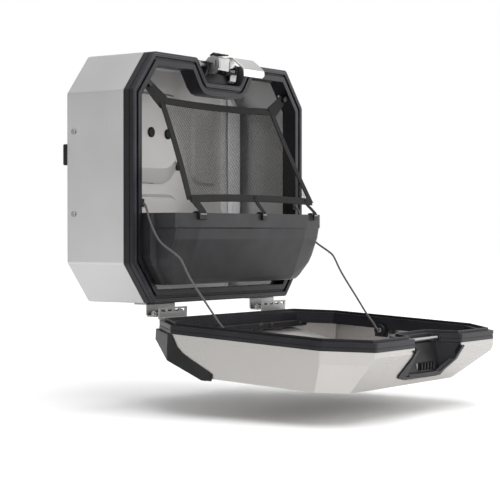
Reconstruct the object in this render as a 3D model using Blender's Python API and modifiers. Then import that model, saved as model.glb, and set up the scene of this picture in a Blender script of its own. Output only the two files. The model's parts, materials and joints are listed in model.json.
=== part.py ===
"""Hard aluminium side case for a motorcycle, standing open: an octagonal case body, and a lid
that hangs from two hinges at the bottom and is held by two cords.

Everything is drawn in metres in the case's own frame: X across, Y out of the back, Z up, with the
back wall's outer face on Y = 0 and the underside on Z = 0. The last step moves it all so that the
centre of the rear mounting rail's face is the origin.
"""

import math

import bmesh
import bpy
from mathutils import Matrix, Vector

# Case body
WIDTH = 0.500
HEIGHT = 0.421
CUT_X = 0.054
CUT_Z = 0.067
SHEET = 0.0015
BACK_RADIUS = 0.006
SHELL_FRONT = -0.1267
FRAME_BACK = -0.127
FRAME_FRONT = -0.1483
FRAME_WIDTH = 0.022
SPIGOT_BACK = -0.119
GAP = 0.0003

# Dip in the top of both frames, where the latch hangs
DIP_TOP = 0.077
DIP_BASE = 0.049
DIP_Z = 0.380

# Lid, in its own frame: S from the hinge edge outwards, D below the plane of its flange
LID_Y = -0.1582
LID_Z = -0.0267
LID_TILT = math.radians(3)
BAND = 0.014
FACE = 0.078
BEVEL_START = (0.0, 0.030)
BEVEL_END = (0.137, 0.078)
SLOPE_START = (0.421, 0.023)
SLOPE_END = (0.391, 0.075)
FACET_TOP = 0.0345
FACET_LEAN = (0.004, 0.088)
GUARD_PROUD = 0.004

# Hinge
HINGE_Y = -0.1409
HINGE_Z = -0.0177
HINGE_X = 0.150
HINGE_WIDTH = 0.076
KNUCKLE = 0.0055
HINGE_PIN = 0.0026
LEAF = 0.0025

# Storage tub
TUB_TOP = 0.1515
TUB_WALL = 0.0025

# Cords
CORD_RADIUS = 0.00175
CORD_TOP = (0.2255, -0.1490, 0.1675)
CORD_DISC_X = 0.2235
CORD_DISC_S = 0.179
CORD_DISC_D = 0.0225

# Latch
PIVOT_Y = -0.138
PIVOT_Z = 0.412
PIVOT_RADIUS = 0.003
LOCK_X = -0.017
LOCK_Y = -0.149

# Rear mounting rail
RAIL_Z = 0.251
RAIL_FACE = 0.012

PARTS = "motorcycle_side_case"


# ---------------------------------------------------------------- scene and materials

for old in list(bpy.data.objects):
    bpy.data.objects.remove(old, do_unlink=True)

parts = bpy.data.collections.new(PARTS)
cutters = bpy.data.collections.new("cutters")
bpy.context.scene.collection.children.link(parts)
bpy.context.scene.collection.children.link(cutters)


def linear(level):
    """One colour channel from 0-255 to Blender's linear scale."""
    level = level / 255
    return level / 12.92 if level <= 0.04045 else ((level + 0.055) / 1.055) ** 2.4


def material(name, colour, roughness, metallic=0.0):
    made = bpy.data.materials.new(name)
    made.use_nodes = True
    shader = made.node_tree.nodes["Principled BSDF"]
    shader.inputs["Base Color"].default_value = [linear(c) for c in colour] + [1.0]
    shader.inputs["Roughness"].default_value = roughness
    shader.inputs["Metallic"].default_value = metallic
    return made


ALUMINIUM = material("aluminium_body", (190, 191, 194), 0.35, 1.0)
LID_METAL = material("aluminium_lid", (206, 204, 198), 0.32, 1.0)
POLISHED = material("aluminium_lever", (232, 231, 228), 0.22, 1.0)
CASTING = material("cast_latch", (168, 168, 166), 0.35, 1.0)
STEEL = material("stainless", (176, 166, 158), 0.30, 1.0)
FRAME = material("frame_plastic", (54, 51, 56), 0.45)
TUB = material("tub_plastic", (70, 70, 72), 0.50)
BLACK = material("black_plastic", (34, 34, 36), 0.50)
RUBBER = material("seal_rubber", (28, 28, 29), 0.75)
MESH = material("net_mesh", (46, 46, 49), 0.85)
WEBBING = material("webbing", (40, 40, 43), 0.80)
CORD = material("cord_sheath", (104, 104, 106), 0.70)


# ---------------------------------------------------------------- modelling helpers


def add(name, mesh, surface, parent=None):
    mesh.name = name
    mesh.materials.clear()
    mesh.materials.append(surface)
    obj = bpy.data.objects.new(name, mesh)
    parts.objects.link(obj)
    obj.parent = parent
    return obj


def from_bmesh(name, work, surface, parent=None):
    mesh = bpy.data.meshes.new(name)
    work.to_mesh(mesh)
    work.free()
    return add(name, mesh, surface, parent)


def helper(obj):
    """Turns a part into a cutter: hidden, drawn as wire, in its own collection."""
    parts.objects.unlink(obj)
    cutters.objects.link(obj)
    obj.hide_render = True
    obj.display_type = "WIRE"
    return obj


def boolean(target, other, operation):
    helper(other)
    modifier = target.modifiers.new(operation.lower(), "BOOLEAN")
    modifier.operation = operation
    modifier.solver = "EXACT"
    modifier.object = other
    return target


def cut(target, other):
    return boolean(target, other, "DIFFERENCE")


def join(target, other):
    return boolean(target, other, "UNION")


def bevel(obj, width, segments=1, angle=40):
    modifier = obj.modifiers.new("bevel", "BEVEL")
    modifier.width = width
    modifier.segments = segments
    modifier.limit_method = "ANGLE"
    modifier.angle_limit = math.radians(angle)
    return obj


TURNS = {
    "X": Matrix.Rotation(math.pi / 2, 4, "Z") @ Matrix.Rotation(math.pi / 2, 4, "X"),
    "Y": Matrix.Rotation(math.pi / 2, 4, "X"),
    "Z": Matrix.Identity(4),
}


def plate(name, outlines, low, high, along, surface, parent=None):
    """Flat outlines given thickness from low to high along one axis. Later outlines are holes."""
    curve = bpy.data.curves.new(name, "CURVE")
    curve.dimensions = "2D"
    curve.fill_mode = "BOTH"
    curve.extrude = (high - low) / 2
    for outline in outlines:
        spline = curve.splines.new("POLY")
        spline.points.add(len(outline) - 1)
        for point, place in zip(spline.points, outline):
            point.co = (place[0], place[1], 0, 1)
        spline.use_cyclic_u = True
    flat = bpy.data.objects.new(name, curve)
    parts.objects.link(flat)
    flat.matrix_world = TURNS[along]
    bpy.context.view_layer.update()
    graph = bpy.context.evaluated_depsgraph_get()
    mesh = bpy.data.meshes.new_from_object(flat.evaluated_get(graph))
    middle = Vector((along == "X", along == "Y", along == "Z")) * (low + high) / 2
    mesh.transform(Matrix.Translation(middle) @ flat.matrix_world)
    bpy.data.objects.remove(flat, do_unlink=True)
    work = bmesh.new()
    work.from_mesh(mesh)
    bmesh.ops.remove_doubles(work, verts=work.verts, dist=1e-6)
    bmesh.ops.recalc_face_normals(work, faces=work.faces)
    work.to_mesh(mesh)
    work.free()
    return add(name, mesh, surface, parent)


def block(name, low, high, surface, parent=None):
    work = bmesh.new()
    bmesh.ops.create_cube(work, size=1)
    size = [b - a for a, b in zip(low, high)]
    middle = [(a + b) / 2 for a, b in zip(low, high)]
    bmesh.ops.scale(work, vec=size, verts=work.verts)
    bmesh.ops.translate(work, vec=middle, verts=work.verts)
    return from_bmesh(name, work, surface, parent)


def rod(name, centre, radius, length, along, surface, parent=None, steps=20, tip=None):
    """A cylinder, or a cone frustum when tip gives its far radius, centred on a point."""
    work = bmesh.new()
    bmesh.ops.create_cone(
        work,
        cap_ends=True,
        segments=steps,
        radius1=radius,
        radius2=radius if tip is None else tip,
        depth=length,
    )
    turn = TURNS[along] if along != "Y" else Matrix.Rotation(math.pi / 2, 4, "X")
    bmesh.ops.transform(work, matrix=Matrix.Translation(centre) @ turn, verts=work.verts)
    return from_bmesh(name, work, surface, parent)


def skin(name, sections, thickness, surface, parent=None, closed=True, cap=False):
    """An open surface through sections of equal length, given thickness on its inner side."""
    work = bmesh.new()
    rows = [[work.verts.new(place) for place in section] for section in sections]
    count = len(rows[0])
    for row, after in zip(rows, rows[1:]):
        for i in range(count if closed else count - 1):
            k = (i + 1) % count
            work.faces.new((row[i], row[k], after[k], after[i]))
    if cap:
        work.faces.new(rows[-1])
    bmesh.ops.recalc_face_normals(work, faces=work.faces)
    middle = sum((v.co for v in work.verts), Vector()) / len(work.verts)
    outward = sum((f.calc_center_median() - middle).dot(f.normal) for f in work.faces)
    if outward < 0:
        bmesh.ops.reverse_faces(work, faces=work.faces)
    obj = from_bmesh(name, work, surface, parent)
    solid = obj.modifiers.new("solidify", "SOLIDIFY")
    solid.thickness = thickness
    solid.offset = -1
    solid.use_even_offset = True
    return obj


def strip(name, path, low, high, thickness, surface, parent=None):
    """A bent sheet: a path in the YZ plane drawn out along X and given thickness about it."""
    work = bmesh.new()
    left = [work.verts.new((low, y, z)) for y, z in path]
    right = [work.verts.new((high, y, z)) for y, z in path]
    for i in range(len(path) - 1):
        work.faces.new((left[i], left[i + 1], right[i + 1], right[i]))
    obj = from_bmesh(name, work, surface, parent)
    solid = obj.modifiers.new("solidify", "SOLIDIFY")
    solid.thickness = thickness
    solid.offset = 0
    solid.use_even_offset = True
    return obj


def tube(name, points, radius, surface, parent=None, steps=2):
    """A round tube along a route of points."""
    curve = bpy.data.curves.new(name, "CURVE")
    curve.dimensions = "3D"
    curve.bevel_depth = radius
    curve.bevel_resolution = steps
    curve.use_fill_caps = True
    spline = curve.splines.new("POLY")
    spline.points.add(len(points) - 1)
    for point, place in zip(spline.points, points):
        point.co = (*place, 1)
    obj = bpy.data.objects.new(name, curve)
    parts.objects.link(obj)
    obj.data.materials.append(surface)
    obj.parent = parent
    return obj


def inset(corners, amount):
    """A closed outline moved inwards, corner by corner, with mitred corners."""
    moved = []
    count = len(corners)
    for i in range(count):
        before = Vector(corners[i - 1])
        here = Vector(corners[i])
        after = Vector(corners[(i + 1) % count])
        first = (here - before).normalized()
        second = (after - here).normalized()
        turned = Vector((-first.y, first.x)) + Vector((-second.y, second.x))
        turned.normalize()
        scale = amount / turned.dot(Vector((-first.y, first.x)))
        moved.append(here + turned * scale)
    return moved


def rounded(corners, outer, inner, steps):
    """Corners replaced by arcs: radius outer where the outline is convex, inner where not."""
    found = []
    count = len(corners)
    for i in range(count):
        before = Vector(corners[i - 1])
        here = Vector(corners[i])
        after = Vector(corners[(i + 1) % count])
        back = (before - here).normalized()
        ahead = (after - here).normalized()
        turn = (here - before).x * (after - here).y - (here - before).y * (after - here).x
        radius = outer if turn > 0 else inner
        half = back.angle(ahead) / 2
        reach = radius / math.tan(half)
        centre = here + (back + ahead).normalized() * (radius / math.sin(half))
        start = here + back * reach - centre
        end = here + ahead * reach - centre
        sweep = start.angle_signed(end)
        for k in range(steps + 1):
            angle = -sweep * k / steps
            x = start.x * math.cos(angle) - start.y * math.sin(angle)
            y = start.x * math.sin(angle) + start.y * math.cos(angle)
            found.append((centre.x + x, centre.y + y))
    return found


def octagon():
    half = WIDTH / 2
    return [
        (-half + CUT_X, 0),
        (half - CUT_X, 0),
        (half, CUT_Z),
        (half, HEIGHT - CUT_Z),
        (half - CUT_X, HEIGHT),
        (-half + CUT_X, HEIGHT),
        (-half, HEIGHT - CUT_Z),
        (-half, CUT_Z),
    ]


def dipped():
    """The octagon with the dip for the latch in its top."""
    plain = octagon()
    dip = [(DIP_TOP, HEIGHT), (DIP_BASE, DIP_Z), (-DIP_BASE, DIP_Z), (-DIP_TOP, HEIGHT)]
    return plain[:5] + dip + plain[5:]


def plain_outline(amount):
    return rounded(inset(octagon(), amount), 0.004, 0.004, 2)


def frame_outline(amount):
    outer = max(0.008 - amount, 0.003)
    inner = max(0.008 + amount, 0.003)
    return rounded(inset(dipped(), amount), outer, inner, 2)


def flipped(outline):
    """An outline in X and S, in the lid's own axes."""
    return [(x, -s) for x, s in outline]


# ---------------------------------------------------------------- case body


def build_shell():
    sections = []
    rows = [(SHELL_FRONT, 0.0)]
    for step in range(5):
        angle = math.pi / 8 * step
        y = -BACK_RADIUS + BACK_RADIUS * math.sin(angle)
        rows.append((y, BACK_RADIUS * (1 - math.cos(angle))))
    rows.append((0.0, 0.024))
    for y, amount in rows:
        outline = rounded(inset(octagon(), amount), max(0.006 - amount, 0.0008), 0.001, 2)
        sections.append([(x, y, z) for x, z in outline])
    skin("body_shell", sections, SHEET, ALUMINIUM)


def build_back_panel():
    panel = plate(
        "back_panel",
        [plain_outline(0.0112)],
        -0.0036,
        -SHEET - GAP,
        "Y",
        ALUMINIUM,
    )
    upper = [(-0.215, 0.385), (-0.215, 0.262), (-0.170, 0.222), (-0.020, 0.207)]
    upper += [(0.012, 0.215), (0.033, 0.240), (0.033, 0.385)]
    lower = [(-0.200, 0.060), (0.190, 0.060), (0.190, 0.150), (0.165, 0.187), (-0.200, 0.187)]
    for name, outline in (("upper_pressing", upper), ("lower_pressing", lower)):
        raised = plate(name, [rounded(outline, 0.014, 0.014, 3)], -0.0086, -0.0030, "Y", ALUMINIUM)
        join(panel, raised)
    for index, (x, z) in enumerate(PLUGS):
        hole = rod(f"plug_hole_{index}", (x, -0.006, z), 0.0055, 0.014, "Y", BLACK, steps=16)
        cut(panel, hole)


PLUGS = ((-0.037, 0.300), (0.012, 0.300), (0.052, 0.241), (0.106, 0.295))


def build_plugs():
    for index, (x, z) in enumerate(PLUGS):
        face = -0.0086 if x < 0.03 else -0.0036
        name = f"back_plug_{index + 1}"
        head = rod(name, (x, face - 0.0023, z), 0.0080, 0.0040, "Y", RUBBER, steps=16)
        stem = rod(name + "_stem", (x, face / 2 - 0.0015, z), 0.0051, -face, "Y", RUBBER, steps=16)
        join(head, stem)


def build_frame():
    front = plate(
        "body_frame",
        [frame_outline(0), frame_outline(FRAME_WIDTH)],
        FRAME_FRONT,
        FRAME_BACK,
        "Y",
        FRAME,
    )
    spigot = plate(
        "frame_spigot",
        [plain_outline(SHEET + GAP), frame_outline(FRAME_WIDTH)],
        FRAME_BACK - 0.0005,
        SPIGOT_BACK,
        "Y",
        FRAME,
    )
    groove = plate(
        "frame_groove",
        [frame_outline(0.008), frame_outline(0.013)],
        FRAME_FRONT - 0.001,
        -0.1423,
        "Y",
        FRAME,
    )
    line = plate(
        "frame_side_line",
        [frame_outline(-0.004), frame_outline(0.0012)],
        -0.1402,
        -0.1388,
        "Y",
        FRAME,
    )
    join(front, spigot)
    cut(front, groove)
    cut(front, line)
    plate(
        "body_seal",
        [frame_outline(0.0083), frame_outline(0.0127)],
        -0.1443,
        -0.1423 - GAP,
        "Y",
        RUBBER,
    )


def build_rivets():
    for side, label in ((-1, "l"), (1, "r")):
        for z, row in ((0.289, "top"), (0.150, "low")):
            half = WIDTH / 2 + GAP
            head = rod(
                f"rivet_{label}_{row}",
                (side * (half + 0.0009), -0.0175, z),
                0.0050,
                0.0018,
                "X",
                STEEL,
                steps=14,
            )
            bevel(head, 0.0008)


def tub_section(z, outer, front, proud=0.0):
    """The tub's plan at one height, from the case on one side round its front to the other side."""
    inner = min(0.222, 0.1648 + 0.806 * z)
    half = [
        (inner, -0.1200),
        (inner, -0.1610),
        (outer + proud, -0.1660),
        (outer + proud, front + 0.0070),
        (outer - 0.007, front + 0.0050 - proud),
        (0.160, front - proud),
    ]
    right = [(x, y, z) for x, y in half]
    left = [(-x, y, z) for x, y in reversed(half)]
    return right + left


def build_tub():
    sections = [
        tub_section(TUB_TOP, 0.215, -0.2165, 0.003),
        tub_section(0.1275, 0.215, -0.2165, 0.003),
        tub_section(0.1255, 0.215, -0.2160),
        tub_section(0.1075, 0.215, -0.2125),
        tub_section(0.0930, 0.2145, -0.2070),
        tub_section(0.0765, 0.2145, -0.2010),
        tub_section(0.0637, 0.2110, -0.1965),
        tub_section(0.0400, 0.1930, -0.1875),
        tub_section(0.0335, 0.1880, -0.1830),
        tub_section(0.0315, 0.1810, -0.1760),
    ]
    skin("storage_tub", sections, TUB_WALL, TUB, closed=False, cap=True)


def build_rail():
    half = 0.245
    rail = block(
        "rear_mount_rail",
        (-half, GAP, RAIL_Z - 0.018),
        (half, RAIL_FACE, RAIL_Z + 0.018),
        BLACK,
    )
    bevel(rail, 0.0015)
    for index, x in enumerate((-0.165, 0.165)):
        slot = block(
            f"rail_slot_{index}",
            (x - 0.022, 0.0042, RAIL_Z - 0.006),
            (x + 0.022, RAIL_FACE + 0.001, RAIL_Z + 0.006),
            BLACK,
        )
        cut(rail, slot)


# ---------------------------------------------------------------- net and cords


def along(start, end, share):
    return tuple(a + (b - a) * share for a, b in zip(start, end))


NET_TOP = (-0.137, 0.342)
NET_BASE = (-0.2125, 0.1725)
NET_TOP_X = 0.163
NET_BASE_X = 0.183


def build_net():
    reach = Vector((NET_BASE[0] - NET_TOP[0], NET_BASE[1] - NET_TOP[1]))
    across = Vector((-reach.y, reach.x)).normalized() * 0.0012
    work = bmesh.new()
    rows = []
    for y, z, half in ((*NET_TOP, NET_TOP_X), (*NET_BASE, NET_BASE_X)):
        for side in (1, -1):
            for x in (-half, half):
                rows.append(work.verts.new((x, y + across.x * side, z + across.y * side)))
    for quad in ((0, 1, 3, 2), (4, 6, 7, 5), (0, 2, 6, 4), (1, 5, 7, 3), (0, 4, 5, 1), (2, 3, 7, 6)):
        work.faces.new([rows[i] for i in quad])
    bmesh.ops.recalc_face_normals(work, faces=work.faces)
    from_bmesh("cargo_net", work, MESH)


ANCHOR_X = 0.2040
ANCHOR_Z = 0.3700


def build_net_straps():
    for side, label in ((-1, "l"), (1, "r")):
        clip = plate(
            f"net_clip_{label}",
            [rounded([(side * 0.1990, 0.3610), (side * 0.2085, 0.3690), (side * 0.2030, 0.3755),
                      (side * 0.1935, 0.3675)][:: side], 0.002, 0.002, 2)],
            -0.1440,
            -0.1300,
            "Y",
            BLACK,
        )
        bevel(clip, 0.0006)
        start = (side * (NET_TOP_X + 0.0030), -0.1362, 0.3455)
        end = (side * 0.1925, -0.1370, 0.3635)
        tube(f"net_strap_{label}", [start, along(start, end, 0.5), end], 0.0018, WEBBING)
    for name, x in HOOK_STRAPS:
        path = [(-0.2145, 0.1695), (-0.2175, 0.1590), (-0.2222, 0.1540), (-0.2222, 0.1390)]
        strip(name, path, x - 0.006, x + 0.006, 0.0014, WEBBING)


HOOK_STRAPS = (("hook_strap_l", -0.160), ("hook_strap_m", 0.016), ("hook_strap_r", 0.163))


def cord_end(side):
    x = side * (CORD_DISC_X - 0.0052)
    y = LID_Y - CORD_DISC_S * math.cos(LID_TILT) + CORD_DISC_D * math.sin(LID_TILT)
    z = LID_Z - CORD_DISC_S * math.sin(LID_TILT) - CORD_DISC_D * math.cos(LID_TILT)
    return (x, y, z)


CORD_PATH = (
    (0.2260, -0.1535, 0.1640),
    (0.2268, -0.1578, 0.1555),
    (0.2277, -0.1625, 0.1432),
    (0.2290, -0.1712, 0.1270),
    (0.2300, -0.1812, 0.1120),
    (0.2305, -0.1890, 0.1035),
    (0.2305, -0.1990, 0.0962),
    (0.2305, -0.2110, 0.0892),
    (0.2305, -0.2220, 0.0826),
    (0.2305, -0.2305, 0.0760),
    (0.2303, -0.2370, 0.0660),
    (0.2300, -0.2440, 0.0535),
    (0.2295, -0.2520, 0.0415),
    (0.2285, -0.2640, 0.0255),
    (0.2272, -0.2790, 0.0065),
    (0.2255, -0.2950, -0.0140),
    (0.2238, -0.3085, -0.0310),
    (0.2205, -0.3230, -0.0452),
    (0.2190, -0.3300, -0.0535),
)


def cord_route(side):
    return [(side * x, y, z) for x, y, z in (CORD_TOP, *CORD_PATH)] + [cord_end(side)]


def build_cords():
    for side, label in ((-1, "l"), (1, "r")):
        low = (0.2205, -0.1480, 0.1610)
        high = (0.2277, -0.1360, 0.1750)
        ends = sorted((side * low[0], side * high[0]))
        anchor = block(
            f"cord_anchor_{label}",
            (ends[0], low[1], low[2]),
            (ends[1], high[1], high[2]),
            BLACK,
        )
        bevel(anchor, 0.0012)
        tube(f"stay_cord_{label}", cord_route(side), CORD_RADIUS, CORD)


# ---------------------------------------------------------------- latch


def pin_at(name, start, end, radius, surface, parent=None, steps=16):
    centre = ((start + end) / 2, PIVOT_Y, PIVOT_Z)
    return rod(name, centre, radius, end - start, "X", surface, parent, steps)


def build_latch_base():
    base = block("latch_base", (-0.0440, -0.1305, 0.3835), (0.0440, -0.1279, 0.4050), BLACK)
    for start, end in ((-0.0440, -0.0370), (0.0375, 0.0440)):
        ear = plate(
            f"ear_{start:.3f}",
            [rounded([(-0.1280, 0.3850), (-0.1280, 0.4180), (-0.1440, 0.4185), (-0.1450, 0.4050),
                      (-0.1330, 0.3850)][::-1], 0.003, 0.003, 3)],
            start,
            end,
            "X",
            BLACK,
        )
        join(base, ear)
    cut(base, pin_at("pivot_bore", -0.060, 0.060, PIVOT_RADIUS + GAP, STEEL))
    pin = pin_at("latch_pin", -0.0590, 0.0460, PIVOT_RADIUS, STEEL)
    join(pin, pin_at("pin_head", -0.0660, -0.0580, 0.0052, STEEL))


def build_latch(pivot):
    profile = [(-0.1310, 0.4045), (-0.1380, 0.3975), (-0.1480, 0.3965), (-0.1640, 0.4070)]
    profile += [(-0.1630, 0.4240), (-0.1480, 0.4280), (-0.1400, 0.4260), (-0.1310, 0.4170)]
    housing = plate(
        "latch_housing",
        [rounded(profile[::-1], 0.0012, 0.0012, 1)],
        -0.0350,
        -0.0020,
        "X",
        CASTING,
        pivot,
    )
    cut(housing, pin_at("housing_bore", -0.060, 0.010, PIVOT_RADIUS + GAP, STEEL, pivot))
    cut(
        housing,
        rod("lock_bore", (LOCK_X, LOCK_Y, 0.4262), 0.0063, 0.0140, "Z", STEEL, pivot, 24),
    )
    hook = strip(
        "latch_hook",
        [(-0.1580, 0.4020), (-0.1630, 0.3960), (-0.1612, 0.3862), (-0.1562, 0.3838)],
        -0.0015,
        0.0160,
        0.0030,
        STEEL,
        pivot,
    )
    join(hook, block("hook_root", (-0.0015, -0.1610, 0.4000), (0.0160, -0.1440, 0.4060), STEEL, pivot))
    lever = strip(
        "latch_lever",
        [(-0.1460, 0.4235), (-0.1665, 0.4250), (-0.1900, 0.4045), (-0.1900, 0.3930)],
        -0.0015,
        0.0592,
        0.0028,
        POLISHED,
        pivot,
    )
    web = block("lever_web", (0.0040, -0.1475, 0.4125), (0.0340, -0.1400, 0.4240), POLISHED, pivot)
    join(lever, web)
    join(lever, pin_at("lever_hub", 0.0040, 0.0340, 0.0062, POLISHED, pivot))
    cut(lever, pin_at("lever_bore", 0.0000, 0.0600, PIVOT_RADIUS + GAP, STEEL, pivot))


def build_lock(pivot):
    spin = bpy.data.objects.new("lock_axis", None)
    parts.objects.link(spin)
    spin.parent = pivot
    spin.location = (LOCK_X, LOCK_Y, 0.4200)
    cylinder = rod("lock_cylinder", (0, 0, 0.0030), 0.0060, 0.0070, "Z", STEEL, spin, 24)
    cut(cylinder, block("key_slot", (-0.0035, -0.0007, 0.0030), (0.0035, 0.0007, 0.0080), STEEL, spin))
    hinge = bpy.data.objects.new("cover_axis", None)
    parts.objects.link(hinge)
    hinge.parent = pivot
    hinge.location = (LOCK_X, LOCK_Y + 0.0110, 0.4300)
    cover = plate(
        "lock_cover",
        [rounded([(0.0010, -0.0010), (0.0010, 0.0010), (-0.0070, 0.0050), (-0.0110, 0.0018),
                  (-0.0260, 0.0010), (-0.0260, -0.0010)], 0.0006, 0.0006, 1)],
        -0.0100,
        0.0100,
        "X",
        BLACK,
        hinge,
    )
    bevel(cover, 0.0004)


# ---------------------------------------------------------------- hinges


def knuckle(name, start, end, parent=None, radius=KNUCKLE):
    centre = ((start + end) / 2, HINGE_Y, HINGE_Z)
    return rod(name, centre, radius, end - start, "X", STEEL, parent, 20)


def build_case_hinges():
    for side, label in ((-1, "l"), (1, "r")):
        low = side * HINGE_X - HINGE_WIDTH / 2
        high = low + HINGE_WIDTH
        path = [(-0.0980, -0.0016), (-0.1235, -0.0016), (-0.1250, -0.0031), (-0.1250, -0.0190)]
        path += [(-0.1275, -0.0215), (-0.1400, -0.0215)]
        leaf = strip(f"hinge_case_{label}", path, low, high, LEAF, STEEL)
        middle = (low + high) / 2
        gap = block(
            f"case_leaf_gap_{label}",
            (middle - 0.0180, -0.1500, -0.0300),
            (middle + 0.0180, -0.1300, -0.0050),
            STEEL,
        )
        join(leaf, knuckle(f"case_knuckle_{label}", low, high))
        cut(leaf, gap)
        cut(leaf, knuckle(f"case_bore_{label}", low - 0.01, high + 0.01, radius=HINGE_PIN + 0.0001))
        pin = knuckle(f"hinge_pin_{label}", low - 0.0020, high + 0.0020, radius=HINGE_PIN)
        bevel(pin, 0.0004)


def build_lid_hinges(lid):
    """The lid's leaves, drawn as they lie with the lid shut and turned with it."""
    for side, label in ((-1, "l"), (1, "r")):
        low = side * HINGE_X - HINGE_WIDTH / 2
        high = low + HINGE_WIDTH
        middle = (low + high) / 2
        s = -0.0075
        path = [(0.0195, s), (0.0015, s), (-0.0020, -0.0017), (-0.0280, -0.0017)]
        flat = [(-d_up, z) for d_up, z in path]
        rows = [(-shift, depth) for depth, shift in flat]
        leaf = strip(
            f"hinge_lid_{label}",
            [(y, -z) for y, z in rows],
            low,
            high,
            LEAF,
            STEEL,
            lid,
        )
        # The hinge axis in the lid's frame
        axis_y, axis_z = HINGE_Z * -1, 0.0081
        barrel = rod(
            f"lid_knuckle_{label}",
            (middle, axis_y, axis_z),
            KNUCKLE,
            0.0350,
            "X",
            STEEL,
            lid,
            20,
        )
        neck = block(
            f"lid_neck_{label}",
            (middle - 0.0175, 0.0070, axis_z - 0.0025),
            (middle + 0.0175, axis_y - 0.0020, axis_z + 0.0025),
            STEEL,
            lid,
        )
        bore = rod(
            f"lid_bore_{label}",
            (middle, axis_y, axis_z),
            HINGE_PIN + 0.0001,
            0.0500,
            "X",
            STEEL,
            lid,
            20,
        )
        join(leaf, neck)
        join(leaf, barrel)
        cut(leaf, bore)
        for index in range(4):
            x = middle - 0.027 + 0.018 * index
            slot = block(
                f"leaf_slot_{label}_{index}",
                (x - 0.0055, 0.0020, 0.0125),
                (x + 0.0055, 0.0120, 0.0165),
                STEEL,
                lid,
            )
            cut(leaf, slot)


# ---------------------------------------------------------------- lid


def cover_planes(grow):
    """The planes that shape the lid's cover, as a point and an outward normal in X, S, D."""
    (s0, d0), (s1, d1) = BEVEL_START, BEVEL_END
    (t0, e0), (t1, e1) = SLOPE_START, SLOPE_END
    found = [
        (Vector((0, s0, d0)), Vector((0, -(d1 - d0), s1 - s0))),
        (Vector((0, t0, e0)), Vector((0, e1 - e0, t0 - t1))),
        (Vector((0, 0, FACE)), Vector((0, 0, 1))),
    ]
    for side, lean in zip((-1, 1), FACET_LEAN):
        outward = Vector((side * CUT_Z, CUT_X, 0)).normalized()
        edge = Vector((side * WIDTH / 2, HEIGHT - CUT_Z, FACET_TOP))
        leaning = outward * (FACE - FACET_TOP) + Vector((0, 0, lean))
        found.append((edge, leaning))
    return [(point + normal.normalized() * grow, normal.normalized()) for point, normal in found]


def cover_solid(name, grow, top, surface, lid):
    outline = rounded(inset(octagon(), -grow), 0.006, 0.006, 2)
    work = bmesh.new()
    lower = [work.verts.new((x, -s, -top)) for x, s in outline]
    upper = [work.verts.new((x, -s, -FACE - 0.02)) for x, s in outline]
    work.faces.new(lower)
    work.faces.new(upper[::-1])
    for i in range(len(outline)):
        k = (i + 1) % len(outline)
        work.faces.new((lower[k], lower[i], upper[i], upper[k]))
    bmesh.ops.recalc_face_normals(work, faces=work.faces)
    for point, normal in cover_planes(grow):
        place = Vector((point.x, -point.y, -point.z))
        facing = Vector((normal.x, -normal.y, -normal.z))
        everything = work.verts[:] + work.edges[:] + work.faces[:]
        done = bmesh.ops.bisect_plane(
            work, geom=everything, plane_co=place, plane_no=facing, clear_outer=True
        )
        rim = [item for item in done["geom_cut"] if isinstance(item, bmesh.types.BMEdge)]
        bmesh.ops.contextual_create(work, geom=rim)
    bmesh.ops.remove_doubles(work, verts=work.verts, dist=1e-5)
    bmesh.ops.recalc_face_normals(work, faces=work.faces)
    return from_bmesh(name, work, surface, lid)


NOTCH = (
    # depth, half width at the top, half width of the floor, floor, top
    (0.0000, 0.0770, 0.0490, 0.3800, 0.4210),
    (0.0280, 0.0770, 0.0600, 0.3840, 0.4180),
    (0.0490, 0.0690, 0.0620, 0.3880, 0.4060),
    (0.0700, 0.0585, 0.0540, 0.3920, 0.3939),
)


def notch_solid(name, lid):
    """The space that the latch needs in the lid's edge, as a cutter."""
    work = bmesh.new()
    rows = []
    first = (-0.0100, *NOTCH[0][1:])
    for depth, wide, narrow, floor, top in (first, *NOTCH):
        slope = (wide - narrow) / max(top - floor, 0.001)
        rise = 0.060 if depth < 0.05 else 0.030
        wider = wide + min(slope, 0.8) * rise
        outline = [(-wider, top + rise), (-wide, top), (-narrow, floor)]
        outline += [(narrow, floor), (wide, top), (wider, top + rise)]
        rows.append([work.verts.new((x, -s, -depth)) for x, s in outline])
    for row, after in zip(rows, rows[1:]):
        for i in range(6):
            k = (i + 1) % 6
            work.faces.new((row[i], row[k], after[k], after[i]))
    work.faces.new(rows[0])
    work.faces.new(rows[-1][::-1])
    bmesh.ops.recalc_face_normals(work, faces=work.faces)
    return from_bmesh(name, work, BLACK, lid)


def build_lid_shell(lid):
    shell = cover_solid("lid_shell", 0.0, BAND + GAP, LID_METAL, lid)
    work = bmesh.new()
    work.from_mesh(shell.data)
    open_side = [f for f in work.faces if f.normal.z > 0.99]
    bmesh.ops.delete(work, geom=open_side, context="FACES_ONLY")
    work.to_mesh(shell.data)
    work.free()
    solid = shell.modifiers.new("solidify", "SOLIDIFY")
    solid.thickness = SHEET
    solid.offset = -1
    solid.use_even_offset = True
    cut(shell, notch_solid("lid_notch", lid))


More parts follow.
